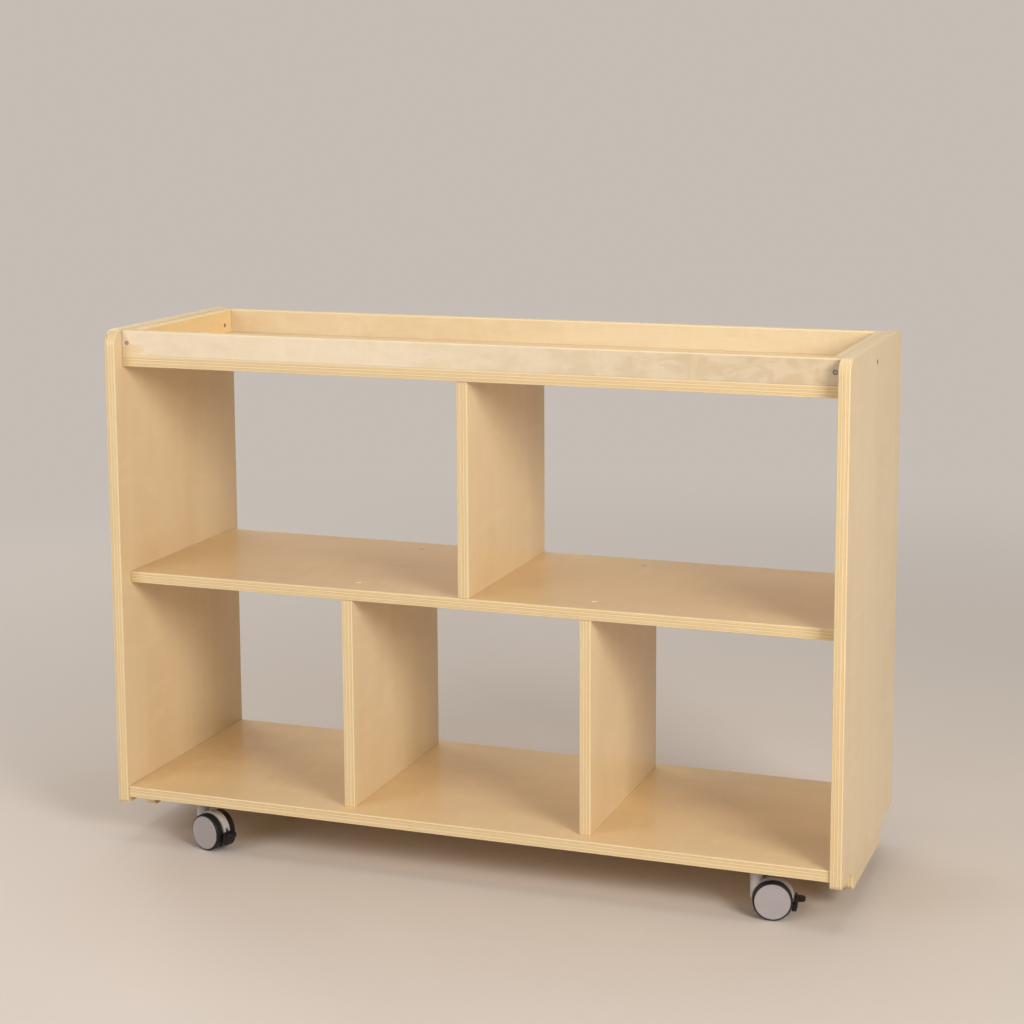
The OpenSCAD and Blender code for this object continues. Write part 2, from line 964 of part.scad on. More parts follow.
module caster_plate_screws() {
    color(zinc)
        at_plate_screws() {
            cylinder(h = plate_head_h, r = plate_head_d / 2);
            translate([0, 0, -plate_screw_len])
                cylinder(h = plate_screw_len, r = plate_screw_d / 2);
        }
}

// Pieces of the front left caster

module front_left_plate() {
    color(zinc)
        at_plate(FL)
            plate_shape();
}

module front_left_kingpin() {
    color(zinc)
        at_plate(FL)
            kingpin_shape();
}

module front_left_housing() {
    color(pale_grey)
        at_caster(FL)
            housing_shape();
}

module front_left_axle() {
    color(zinc)
        at_caster(FL)
            axle_shape();
}

module front_left_outer_wheel() {
    color(black)
        at_caster(FL)
            on_axle(FL[3])
                wheel_shape();
}

module front_left_outer_cap() {
    color(cap_grey)
        at_caster(FL)
            on_axle(FL[3])
                cap_shape();
}

module front_left_inner_wheel() {
    color(black)
        at_caster(FL)
            on_axle(-FL[3])
                wheel_shape();
}

module front_left_inner_cap() {
    color(cap_grey)
        at_caster(FL)
            on_axle(-FL[3])
                cap_shape();
}

module front_left_brake_lever() {
    color(black)
        at_caster(FL)
            lever_shape();
}

// Pieces of the front right caster

module front_right_plate() {
    color(zinc)
        at_plate(FR)
            plate_shape();
}

module front_right_kingpin() {
    color(zinc)
        at_plate(FR)
            kingpin_shape();
}

module front_right_housing() {
    color(pale_grey)
        at_caster(FR)
            housing_shape();
}

module front_right_axle() {
    color(zinc)
        at_caster(FR)
            axle_shape();
}

module front_right_outer_wheel() {
    color(black)
        at_caster(FR)
            on_axle(FR[3])
                wheel_shape();
}

module front_right_outer_cap() {
    color(cap_grey)
        at_caster(FR)
            on_axle(FR[3])
                cap_shape();
}

module front_right_inner_wheel() {
    color(black)
        at_caster(FR)
            on_axle(-FR[3])
                wheel_shape();
}

module front_right_inner_cap() {
    color(cap_grey)
        at_caster(FR)
            on_axle(-FR[3])
                cap_shape();
}

module front_right_brake_lever() {
    color(black)
        at_caster(FR)
            lever_shape();
}

// Pieces of the rear left caster

module rear_left_plate() {
    color(zinc)
        at_plate(RL)
            plate_shape();
}

module rear_left_kingpin() {
    color(zinc)
        at_plate(RL)
            kingpin_shape();
}

module rear_left_housing() {
    color(pale_grey)
        at_caster(RL)
            housing_shape();
}

module rear_left_axle() {
    color(zinc)
        at_caster(RL)
            axle_shape();
}

module rear_left_outer_wheel() {
    color(black)
        at_caster(RL)
            on_axle(RL[3])
                wheel_shape();
}

module rear_left_outer_cap() {
    color(cap_grey)
        at_caster(RL)
            on_axle(RL[3])
                cap_shape();
}

module rear_left_inner_wheel() {
    color(black)
        at_caster(RL)
            on_axle(-RL[3])
                wheel_shape();
}

module rear_left_inner_cap() {
    color(cap_grey)
        at_caster(RL)
            on_axle(-RL[3])
                cap_shape();
}

module rear_left_brake_lever() {
    color(black)
        at_caster(RL)
            lever_shape();
}

// Pieces of the rear right caster

module rear_right_plate() {
    color(zinc)
        at_plate(RR)
            plate_shape();
}

module rear_right_kingpin() {
    color(zinc)
        at_plate(RR)
            kingpin_shape();
}

module rear_right_housing() {
    color(pale_grey)
        at_caster(RR)
            housing_shape();
}

module rear_right_axle() {
    color(zinc)
        at_caster(RR)
            axle_shape();
}

module rear_right_outer_wheel() {
    color(black)
        at_caster(RR)
            on_axle(RR[3])
                wheel_shape();
}

module rear_right_outer_cap() {
    color(cap_grey)
        at_caster(RR)
            on_axle(RR[3])
                cap_shape();
}

module rear_right_inner_wheel() {
    color(black)
        at_caster(RR)
            on_axle(-RR[3])
                wheel_shape();
}

module rear_right_inner_cap() {
    color(cap_grey)
        at_caster(RR)
            on_axle(-RR[3])
                cap_shape();
}

module rear_right_brake_lever() {
    color(black)
        at_caster(RR)
            lever_shape();
}

side_panel_left();
side_panel_right();
bottom_shelf();
middle_shelf();
top_shelf();
upper_divider();
lower_divider_left();
lower_divider_right();
tray_front_rail();
tray_back_rail();
tray_end_rail_left();
tray_end_rail_right();
shelf_dowels();
divider_screws();
screw_plugs();
tray_corner_screws();
tray_end_screws();
side_panel_screws();
tray_floor_screws();
caster_plate_screws();
front_left_plate();
front_left_kingpin();
front_left_housing();
front_left_axle();
front_left_outer_wheel();
front_left_outer_cap();
front_left_inner_wheel();
front_left_inner_cap();
front_left_brake_lever();
front_right_plate();
front_right_kingpin();
front_right_housing();
front_right_axle();
front_right_outer_wheel();
front_right_outer_cap();
front_right_inner_wheel();
front_right_inner_cap();
front_right_brake_lever();
rear_left_plate();
rear_left_kingpin();
rear_left_housing();
rear_left_axle();
rear_left_outer_wheel();
rear_left_outer_cap();
rear_left_inner_wheel();
rear_left_inner_cap();
rear_left_brake_lever();
rear_right_plate();
rear_right_kingpin();
rear_right_housing();
rear_right_axle();
rear_right_outer_wheel();
rear_right_outer_cap();
rear_right_inner_wheel();
rear_right_inner_cap();
rear_right_brake_lever();
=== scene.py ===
import json
import math

import bmesh
import bpy
import numpy as np
from bpy.props import FloatProperty, FloatVectorProperty, IntProperty, PointerProperty
from mathutils import Euler, Matrix, Vector


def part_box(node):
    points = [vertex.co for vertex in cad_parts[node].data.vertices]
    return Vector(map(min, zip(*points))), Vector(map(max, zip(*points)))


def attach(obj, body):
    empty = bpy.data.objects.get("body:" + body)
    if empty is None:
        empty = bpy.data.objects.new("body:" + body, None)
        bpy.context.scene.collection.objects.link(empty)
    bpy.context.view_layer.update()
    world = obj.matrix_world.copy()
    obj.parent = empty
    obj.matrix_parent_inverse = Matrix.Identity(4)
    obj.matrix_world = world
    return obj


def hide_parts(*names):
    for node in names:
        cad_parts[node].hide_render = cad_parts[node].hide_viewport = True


bl_info = {
    "name": "Classroom Shelf",
    "version": (1, 0, 0),
    "blender": (4, 5, 0),
    "location": "3D View > Sidebar > Shelf",
    "description": "Finishes the packed classroom shelf: birch plywood, screws, casters and stage",
    "category": "Object",
}

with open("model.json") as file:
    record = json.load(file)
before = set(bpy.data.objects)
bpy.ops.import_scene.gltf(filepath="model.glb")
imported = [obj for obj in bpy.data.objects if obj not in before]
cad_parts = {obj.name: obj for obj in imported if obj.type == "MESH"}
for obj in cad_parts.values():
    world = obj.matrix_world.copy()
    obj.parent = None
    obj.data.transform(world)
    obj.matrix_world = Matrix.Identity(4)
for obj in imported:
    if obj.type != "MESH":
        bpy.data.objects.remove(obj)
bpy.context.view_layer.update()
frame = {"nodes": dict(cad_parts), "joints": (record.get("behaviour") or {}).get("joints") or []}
JOINTS = {joint["name"]: joint for joint in frame["joints"]}
CORNERS = ("front_left", "front_right", "rear_left", "rear_right")
MM = 0.001
CLEARANCE = 0.05 * MM  # between a round piece and its hole
UP = (0, 0, 1)

# Settings that a user would change


def colour(name, description, default):
    return FloatVectorProperty(
        name=name, description=description, default=default, subtype="COLOR", size=3, min=0, max=1
    )


def length(name, description, default):
    return FloatProperty(
        name=name, description=description, default=default, min=0, precision=4,
        unit="LENGTH", subtype="DISTANCE",
    )


def power(name, description, default):
    return FloatProperty(name=name, description=description, default=default, min=0, unit="POWER")


def share(name, description, default):
    return FloatProperty(name=name, description=description, default=default, min=0, max=1)


def brightness(name, description, default):
    return FloatProperty(name=name, description=description, default=default, min=0)


def turning(name, description, degrees):
    return FloatProperty(name=name, description=description, default=math.radians(degrees), unit="ROTATION")


class ShelfWood(bpy.types.PropertyGroup):
    """Birch plywood under a clear satin lacquer."""

    face: colour("Face veneer", "Colour of the veneer on the boards' faces", (0.86, 0.645, 0.380))
    figure: colour("Figure", "Colour of the darker figure in the veneer", (0.72, 0.52, 0.27))
    edge: colour("Edge, long grain", "Colour of plies cut along their grain", (0.92, 0.745, 0.455))
    end_grain: colour("Edge, end grain", "Colour of plies cut across their grain", (0.80, 0.575, 0.295))
    glue: colour("Glue lines", "Colour of the lines between the plies", (0.42, 0.225, 0.08))
    plies: IntProperty(name="Plies", description="Layers in one board, an odd number", default=7, min=3, max=15)
    roughness: share("Lacquer roughness", "Roughness of the satin lacquer", 0.40)
    gap: length("Joint shade", "Width of the shade along a joint", 1.3 * MM)
    sheen: share("Reflection", "Specular level of the wood", 0.28)
    lacquer: share("Lacquer coat", "Weight of the clear coat", 0.28)
    arris: length("Arris radius", "Radius of the side panels' eased edges", 0.0016)


class ShelfPanel(bpy.types.PropertyGroup):
    """Outline of a side panel below its rounded top corners."""

    top_corner: length("Top corner radius", "Radius of the two top corners", 0.024)
    foot_corner: length("Foot corner radius", "Radius of the outer corners of the feet", 0.008)
    step_corner: length("Step radius", "Radius of the two curves of each step", 0.012)
    foot_z: length("Foot height", "Height of the feet's lower ends above the floor", 0.068)
    front_foot: length("Front foot", "Length of the front foot up to the step", 0.086)
    rear_foot: length("Rear foot", "Length of the rear foot up to the step", 0.094)
    screw_head: length("Screw head", "Diameter of the screw in the panel's outer face", 0.0075)
    screw_shank: length("Screw shank", "Diameter of that screw's shank", 0.004)
    screw_z: length("Screw height", "Height of that screw above the floor", 0.822)


class ShelfCaster(bpy.types.PropertyGroup):
    """Twin-wheel casters."""

    wheel_width: length("Wheel width", "Width of one wheel", 0.014)
    shoulder: length("Tread shoulder", "Radius of the tread's edges", 0.0025)
    crown: length("Crown", "How much the tread falls away to its edges", 0.0002)
    cap_radius: length("Cap radius", "Radius of the cap", 0.027)
    cap_proud: length("Cap stand-out", "How far the cap stands out of the wheel", 0.0008)
    cap_dish: length("Cap dish", "Depth of the shallow dish in the cap", 0.0003)
    hood_width: length("Hood width", "Width of the hood between the wheels", 0.012)
    hood_rise: length("Hood rise", "How far the hood stands out beyond the wheels", 0.002)
    rib: length("Rib", "Width and height of the ribs along the hood's edges", 0.0009)
    cap: colour("Cap", "Colour of the caps", (0.425, 0.385, 0.395))
    tyre: colour("Tyre", "Colour of the wheels", (0.014, 0.012, 0.011))
    housing: colour("Housing", "Colour of the necks and hoods", (0.52, 0.485, 0.46))
    lever: colour("Lever", "Colour of the brake levers", (0.012, 0.011, 0.011))
    steel: colour("Steel", "Colour of the zinc plated screws and plates", (0.40, 0.39, 0.39))


class ShelfStage(bpy.types.PropertyGroup):
    """Floor, light and camera."""

    floor: colour("Floor", "Colour of the plain floor", (0.74, 0.67, 0.61))
    backdrop: colour("Background", "Colour behind the shelf", (0.74, 0.67, 0.61))
    backdrop_strength: brightness("Background strength", "Brightness of the background", 0.76)
    sky: colour("Soft light", "Colour of the soft light from all round", (1.0, 0.96, 0.92))
    sky_front: brightness("Soft front light", "Strength of the soft light from the front", 0.20)
    sky_back: brightness("Soft back light", "Strength of the soft light from behind", 0.12)
    left_power: power("Front left light", "Power of the light at the front left", 25)
    side_power: power("Right light", "Power of the large light at the right", 90)
    right_power: power("Front right light", "Power of the smaller light at the front right", 8)
    over_power: power("Top light", "Power of the large light overhead", 34)
    behind_power: power("Back light", "Power of the large light above the back", 11)
    rear_power: power("Left rear light", "Power of the light at the left rear", 28)
    camera: FloatVectorProperty(
        name="Camera", description="Place of the camera", default=(1.1836, -3.1933, 1.2399), size=3,
        unit="LENGTH", subtype="XYZ",
    )
    yaw: turning("Camera yaw", "Turn of the camera to the left", 20.057)
    pitch: turning("Camera pitch", "Tilt of the camera down", 8.390)
    roll: turning("Camera roll", "Roll of the camera", -0.274)
    lens: FloatProperty(
        name="Lens", description="Focal length in millimetres", default=75.858, min=1, unit="CAMERA"
    )
    shift: FloatProperty(name="Shift", description="Vertical shift of the lens", default=-0.11)


# Meshes worked out as arrays


def grid_faces(rows, columns, rows_closed, columns_closed):
    """Quads between neighbouring rows and columns of a grid of points, as corner numbers."""
    i = np.arange(rows if rows_closed else rows - 1)[:, None]
    j = np.arange(columns if columns_closed else columns - 1)[None, :]
    here, right = i * columns + j, i * columns + (j + 1) % columns
    below = ((i + 1) % rows) * columns
    return np.stack([here, right, below + (j + 1) % columns, below + j], axis=-1).reshape(-1, 4)


def outward(points, faces):
    """Faces in the order that makes a closed mesh's volume positive.

    The volume is a sixth of the sum, over the triangles, of one corner dotted with the cross
    product of the other two.
    """
    a, b, c, d = (points[faces[:, k]] for k in range(4))
    volume = sum(np.einsum("ij,ij->i", a, np.cross(one, two)).sum() for one, two in ((b, c), (c, d)))
    return faces if volume > 0 else faces[:, ::-1]


def lathe(profile, base, axis, across, turns=128):
    """Closed surface of a profile of radius and height turned about an axis.

    A point is the base, plus its height along the axis, plus its radius along the direction
    that the angle turns from the first cross direction to the second. A profile that starts
    and ends on the axis has a pole at both ends.
    """
    profile = np.asarray(profile, float)
    axis, across = np.asarray(axis, float), np.asarray(across, float)
    beside = np.cross(axis, across)
    angle = np.linspace(0, 2 * np.pi, turns, endpoint=False)
    around = np.cos(angle)[:, None] * across + np.sin(angle)[:, None] * beside
    ring = profile[:, 0][:, None, None] * around[None] + profile[:, 1][:, None, None] * axis
    points = (ring + np.asarray(base)).reshape(-1, 3)
    faces = grid_faces(len(profile), turns, profile[0, 0] > 0, True)
    return points, outward(points, faces)


def rounded_loop(corners, steps):
    """Closed loop of points round axis-parallel corners, each with its own radius.

    Each corner's arc has its centre one radius along both edges from the corner, and its point
    at an angle lies one radius from the centre, opposite the blend of the two edge directions.
    Returns the points and their outward normals for a loop that runs with its inside on the left.
    """
    place = np.array([c[:2] for c in corners], float)
    radius = np.array([c[2] for c in corners], float)[:, None, None]
    back = np.roll(place, 1, axis=0) - place
    on = np.roll(place, -1, axis=0) - place
    back /= np.linalg.norm(back, axis=1, keepdims=True)
    on /= np.linalg.norm(on, axis=1, keepdims=True)
    angle = np.linspace(0, np.pi / 2, steps + 1)[None, :, None]
    reach = np.cos(angle) * on[:, None] + np.sin(angle) * back[:, None]
    points = place[:, None] + radius * (back + on)[:, None] - radius * reach
    turn = back[:, 0] * on[:, 1] - back[:, 1] * on[:, 0]
    normals = np.where(turn[:, None, None] < 0, -reach, reach)
    return points.reshape(-1, 2), normals.reshape(-1, 2)


def merged(mesh, distance, tidy):
    """Joins a mesh's corners that lie within a distance, and then runs one more step on it."""
    clean = bmesh.new()
    clean.from_mesh(mesh)
    bmesh.ops.remove_doubles(clean, verts=clean.verts, dist=distance)
    tidy(clean)
    clean.to_mesh(mesh)
    clean.free()


def add_piece(name, parts, body, material, replaced=(), sharp=35):
    """One object from several closed meshes of points and faces, which rides on a body.

    Edges sharper than the angle in degrees are shaded as edges.
    """
    start = np.cumsum([0] + [len(points) for points, _ in parts])
    points = np.concatenate([points for points, _ in parts])
    faces = np.concatenate([faces + first for (_, faces), first in zip(parts, start)])
    mesh = bpy.data.meshes.new(name)
    mesh.from_pydata(points.tolist(), [], faces.tolist())
    merged(mesh, 1e-7, lambda clean: bmesh.ops.dissolve_degenerate(clean, edges=clean.edges, dist=1e-8))
    mesh.shade_smooth()
    mesh.set_sharp_from_angle(angle=math.radians(sharp))
    piece = bpy.data.objects.new(name, mesh)
    bpy.context.scene.collection.objects.link(piece)
    mesh.materials.append(material)
    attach(piece, body)
    if replaced:
        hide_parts(*replaced)
    return piece


def softened_copy(name, node, body, material, width):
    """Copy of a CAD node with merged corners and small rounded edges, which replaces it."""
    flat, eased = math.radians(0.4), math.radians(32)
    mesh = frame["nodes"][node].data.copy()
    mesh.name = name
    merged(mesh, 1e-6, lambda clean: bmesh.ops.dissolve_limit(
        clean, angle_limit=flat, verts=clean.verts, edges=clean.edges
    ))
    mesh.shade_smooth()
    piece = bpy.data.objects.new(name, mesh)
    bpy.context.scene.collection.objects.link(piece)
    mesh.materials.clear()
    mesh.materials.append(material)
    bevel = piece.modifiers.new("eased edges", "BEVEL")
    bevel.width = width
    bevel.segments = 3
    bevel.limit_method = "ANGLE"
    bevel.angle_limit = eased
    bevel.harden_normals = True
    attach(piece, body)
    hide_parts(node)
    return piece


def caster_frame(corner):
    """Trailing direction, direction along the axle, and the axle's middle of a caster."""
    spin = JOINTS[corner + "_outer_wheel_spin"]
    axle = np.array(spin["pos_m"], float)
    cross = np.array(spin["axis"], float)
    cross /= np.linalg.norm(cross)
    return np.cross(cross, UP), cross, axle


def wheel_places(corner):
    """Each wheel of a caster: its side, the axle's middle, the way out, and how far out it is."""
    _, cross, axle = caster_frame(corner)
    for side in ("outer", "inner"):
        low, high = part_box(f"{corner}_{side}_wheel")
        offset = np.dot((np.array(low) + np.array(high)) / 2 - axle, cross)
        way = np.sign(offset)
        yield side, axle, cross * way, offset * way


# Materials


class Steps:
    """Nodes of a tree, built with one call for each step. A call returns its output socket."""

    def __init__(self, tree):
        self.nodes, self.links = tree.nodes, tree.links
        self.nodes.clear()

    def feed(self, socket, value):
        if isinstance(value, bpy.types.NodeSocket):
            self.links.new(value, socket)
        else:
            socket.default_value = value

    def math(self, kind, a, b=0.0, clamp=False):
        node = self.nodes.new("ShaderNodeMath")
        node.operation = kind
        node.use_clamp = clamp
        for socket, value in zip(node.inputs, (a, b)):
            self.feed(socket, value)
        return node.outputs[0]

    def plus(self, a, b):
        return self.math("ADD", a, b)

    def minus(self, a, b):
        return self.math("SUBTRACT", a, b)

    def times(self, a, b):
        return self.math("MULTIPLY", a, b)

    def between(self, a, low, high):
        """Distance from a value to the nearer of two limits, positive between them."""
        return self.math("MINIMUM", self.minus(a, low), self.minus(high, a))

    def scatter(self, value, shift, factor):
        """A steady random number from 0 to 1 for each whole value."""
        wave = self.math("SINE", self.times(self.plus(value, shift), factor))
        return self.math("FRACT", self.times(wave, 43758.547))

    def span(self, value, low, high, start=0.0, end=1.0):
        """Smooth step of a value from low to high, scaled to run from start to end."""
        node = self.nodes.new("ShaderNodeMapRange")
        node.interpolation_type = "SMOOTHSTEP"
        for socket, given in zip(node.inputs, (value, low, high, start, end)):
            self.feed(socket, given)
        return node.outputs[0]

    def blend(self, factor, a, b):
        node = self.nodes.new("ShaderNodeMix")
        node.data_type = "RGBA"
        node.clamp_factor = True
        self.feed(node.inputs[0], factor)
        for socket, value in ((node.inputs[6], a), (node.inputs[7], b)):
            self.feed(socket, value if isinstance(value, bpy.types.NodeSocket) else (*value, 1.0)[:4])
        return node.outputs[2]

    def noise(self, vector, scale=1.0, detail=2.0, roughness=0.5, distortion=0.0):
        node = self.nodes.new("ShaderNodeTexNoise")
        self.feed(node.inputs["Vector"], vector)
        node.inputs["Scale"].default_value = scale
        node.inputs["Detail"].default_value = detail
        node.inputs["Roughness"].default_value = roughness
        node.inputs["Distortion"].default_value = distortion
        return node.outputs[0]

    def split(self, vector):
        node = self.nodes.new("ShaderNodeSeparateXYZ")
        self.feed(node.inputs[0], vector)
        return dict(zip("XYZ", node.outputs))

    def join(self, x, y, z):
        node = self.nodes.new("ShaderNodeCombineXYZ")
        for socket, value in zip(node.inputs, (x, y, z)):
            self.feed(socket, value)
        return node.outputs[0]

    def light(self, kind, tone, strength):
        """An emission or a background of one colour."""
        node = self.nodes.new("ShaderNode" + kind)
        node.inputs[0].default_value = (*tone, 1)
        self.feed(node.inputs[1], strength)
        return node.outputs[0]

    def seen(self):
        """1 for the rays that see the plain background: camera, glossy and transmission rays."""
        path = self.nodes.new("ShaderNodeLightPath").outputs
        seen = self.math("MAXIMUM", path["Is Camera Ray"], path["Is Glossy Ray"])
        return self.math("MAXIMUM", seen, path["Is Transmission Ray"])

    def mix_shaders(self, factor, first, second, output):
        node = self.nodes.new("ShaderNodeMixShader")
        for socket, value in zip(node.inputs, (factor, first, second)):
            self.feed(socket, value)
        self.links.new(node.outputs[0], output.inputs[0])


class Recipe(Steps):
    """A material of one shader. The steps that end it set its bump and the shader's sockets."""

    def __init__(self, name):
        self.material = bpy.data.materials.new(name)
        self.material.use_nodes = True
        super().__init__(self.material.node_tree)
        self.output = self.nodes.new("ShaderNodeOutputMaterial")
        self.shader = self.nodes.new("ShaderNodeBsdfPrincipled")
        self.links.new(self.shader.outputs[0], self.output.inputs[0])
        self.place = self.nodes.new("ShaderNodeTexCoord")

    def bump(self, height, distance):
        node = self.nodes.new("ShaderNodeBump")
        node.inputs["Strength"].default_value = 1.0
        node.inputs["Distance"].default_value = distance
        self.feed(node.inputs["Height"], height)
        self.links.new(node.outputs[0], self.shader.inputs["Normal"])

    def set(self, **values):
        for name, value in values.items():
            self.feed(self.shader.inputs[name.replace("_", " ").title().replace("Ior", "IOR")], value)
        return self.material


def plywood(name, node, across, along, seed, tint, mottle=0.0, joints=(), patch=None, painted_falloff=None):
    """Birch plywood as a solid pattern: plies through the thickness, grain along each ply.

    across is the axis through the board, along the grain axis of the face veneer. Odd plies
    turn their grain by a right angle, and a ply looks dark where the surface cuts its grain.
    mottle is the strength of the pale clouds in the face. joints lists an axis with the two
    planes at which the board meets another, and how dark the joint is. patch gives the X and Z
    of a ragged darker patch and its two half lengths. painted_falloff names the two ends along X
    between which the face passes to another colour: a painted shade, standing in for light that
    falls off along the board.
    """
    wood = bpy.context.scene.shelf_wood
    low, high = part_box(node)
    axis = "XYZ".index(across)
    other = next(a for a in "XYZ" if a not in (across, along))
    stain, shade = (0.80, 0.58, 0.27), (0.16, 0.08, 0.03)
    r = Recipe(name)
    at, facing = r.split(r.place.outputs["Object"]), r.split(r.place.outputs["Normal"])
    u, v = r.plus(at[along], seed * 0.731), r.plus(at[other], seed * 0.417)
    depth = r.math("DIVIDE", r.minus(at[across], low[axis]), high[axis] - low[axis], clamp=True)

    def figure(scale_u, scale_v, shift, *look):
        """Noise scaled apart along and across the grain, with its detail, roughness and distortion."""
        return r.noise(r.join(r.times(u, scale_u), r.times(v, scale_v), seed + shift), 1.0, *look)

    # which ply, counted through the board, with a slight waviness inside it
    waviness = r.minus(figure(6.0, 6.0, 0.0, 1.0), 0.5)
    window = r.math("SINE", r.times(depth, math.pi))
    layer = r.plus(r.times(depth, float(wood.plies)), r.times(r.times(waviness, window), 0.5))
    index = r.math("MINIMUM", r.math("MAXIMUM", r.math("FLOOR", layer), 0.0), wood.plies - 1.0)
    turned = r.math("MODULO", index, 2.0)
    within = r.math("FRACT", layer)

    # how squarely the surface cuts the ply's grain
    on_face = r.span(r.math("ABSOLUTE", facing[across]), 0.80, 0.97)
    on_edge = r.minus(1.0, on_face)
    cut_u, cut_v = r.math("ABSOLUTE", facing[along]), r.math("ABSOLUTE", facing[other])
    cut = r.plus(r.times(cut_u, r.minus(1.0, turned)), r.times(cut_v, turned))
    cut = r.span(cut, 0.35, 0.75)

    # fine streaks along the ply's grain, and pores in the face
    lengthways, sideways, ply_step = 14.0, 654.0, 7.3
    turn = r.times(turned, sideways - lengthways)
    drifted = r.plus(v, r.times(figure(2.2, 3.0, 3.0, 1.0), 0.02))
    streak_place = r.join(
        r.times(u, r.plus(lengthways, turn)), r.times(drifted, r.minus(sideways, turn)),
        r.plus(r.times(at[across], 500.0), r.times(index, ply_step)),
    )
    streaks = r.noise(streak_place, 1.0, 2.0, 0.6)
    pores = r.noise(r.join(r.times(u, 75.0), r.times(drifted, 1500.0), seed + 9.0), 1.0, 1.0)

    # broad figure of the face veneer
    broad = figure(1.7, 9.0, 1.0, 2.0, 0.5, 0.5)
    rings = r.math("SINE", r.times(figure(1.1, 6.5, 5.0, 1.0, 0.4, 0.3), 85.0))
    flame = figure(34.0, 11.0, 7.0, 2.0, 0.5, 0.6)
    clouds = figure(24.0, 48.0, 11.0, 3.0, 0.6, 0.5)
    face = tuple(min(1.0, c * k) for c, k in zip(wood.face, tint))
    bright = tuple(min(1.0, c * 1.13) for c in face)
    pale = tuple(min(1.0, c * k) for c, k in zip(face, (1.06, 1.10, 1.16)))
    # painted shade: the face passes along X to a darker colour, standing in for light falling off along the
    # board
    veneer = r.blend(r.span(at["X"], painted_falloff[0], painted_falloff[1]), face, painted_falloff[2]) if painted_falloff else face
    veneer = r.blend(r.span(broad, 0.36, 0.72, 0.0, 0.36), veneer, wood.figure)
    veneer = r.blend(r.span(rings, 0.2, 1.0, 0.0, 0.085), veneer, wood.figure)
    veneer = r.blend(r.span(flame, 0.50, 0.72, 0.0, 0.21), veneer, bright)
    if mottle:
        veneer = r.blend(r.span(clouds, 0.40, 0.62, 0.0, mottle), veneer, pale)
        veneer = r.blend(r.span(clouds, 0.42, 0.28, 0.0, mottle * 0.5), veneer, wood.figure)
    veneer = r.blend(r.span(pores, 0.60, 0.72, 0.0, 0.14), veneer, wood.end_grain)
    if patch:
        patch_x, patch_z, half_x, half_z = patch
        over = r.math("POWER", r.math("DIVIDE", r.minus(at["X"], patch_x), half_x), 2.0)
        over = r.plus(over, r.math("POWER", r.math("DIVIDE", r.minus(at["Z"], patch_z), half_z), 2.0))
        over = r.plus(over, r.times(r.minus(figure(130.0, 420.0, 13.0, 3.0, 0.65, 1.2), 0.5), 4.5))
        veneer = r.blend(r.span(over, 1.1, 0.4, 0.0, 0.55), veneer, stain)

    # edges, darker on end grain and a little uneven from ply to ply, and the streaks over all
    ply = r.blend(on_face, wood.edge, veneer)
    ply = r.blend(r.times(cut, 0.62), ply, wood.end_grain)
    uneven = r.scatter(index, seed, 12.9898)
    ply = r.blend(r.times(r.times(uneven, on_edge), 0.16), ply, wood.end_grain)
    weight = r.plus(0.09, r.times(on_edge, 0.13))
    ply = r.blend(r.times(r.span(streaks, 0.34, 0.66), weight), ply, wood.figure)

    # glue lines, where two plies meet inside the board
    to_line = r.math("MINIMUM", within, r.minus(1.0, within))
    inside = r.times(r.math("GREATER_THAN", layer, 0.5), r.math("LESS_THAN", layer, wood.plies - 0.5))
    line = r.math("FLOOR", r.plus(layer, 0.5))
    glue = r.times(r.span(to_line, 0.04, 0.13, 1.0, 0.0), inside)
    glue = r.times(glue, r.plus(0.25, r.times(r.scatter(line, seed, 78.233), 0.65)))
    glue = r.times(glue, r.span(r.noise(streak_place, 0.12, 1.0), 0.30, 0.55, 0.45, 1.0))
    ply = r.blend(glue, ply, wood.glue)

    # shade in the fine gap along a joint
    for joint_axis, start, end, dark in joints:
        gap = r.between(at[joint_axis], start, end)
        ply = r.blend(r.span(gap, wood.gap * 0.3, wood.gap, dark, 0.0), ply, shade)

    # satin lacquer over a faint relief of grain, with the glue lines sunk
    lacquer = figure(9.0, 30.0, 0.0, 3.0, 0.6)
    ripple = r.noise(r.place.outputs["Object"], 70.0, 1.0)
    relief = r.plus(r.times(streaks, 0.5), r.times(ripple, 0.6))
    r.bump(r.minus(relief, r.times(glue, 0.6)), 0.06 * MM)
    rough = r.plus(r.plus(wood.roughness - 0.05, r.times(lacquer, 0.10)), r.times(cut, 0.08))
    return r.set(
        base_color=ply, roughness=rough, specular_ior_level=wood.sheen, coat_weight=wood.lacquer,
        coat_roughness=0.11,
    )


def plain_wood(name, body, dark, along, rear=None):
    """Small solid wood piece with fine grain along one axis, and a painted shade of another colour at the rear
    if given.
    """
    grain_along, grain_across, relief = 60.0, 900.0, 0.04 * MM
    r = Recipe(name)
    at = r.split(r.place.outputs["Object"])
    stretched = r.join(*(r.times(at[axis], grain_along if axis == along else grain_across) for axis in "XYZ"))
    grain = r.noise(stretched, 1.0, 3.0, 0.6)
    tint = r.blend(r.span(grain, 0.35, 0.7, 0.0, 0.5), body, dark)
    # painted shade: pieces behind the middle of the shelf pass to the darker rear colour
    if rear:
        tint = r.blend(r.span(at["Y"], -0.05, 0.05), tint, rear)
    r.bump(grain, relief)
    return r.set(base_color=tint, roughness=r.plus(0.36, r.times(grain, 0.15)))


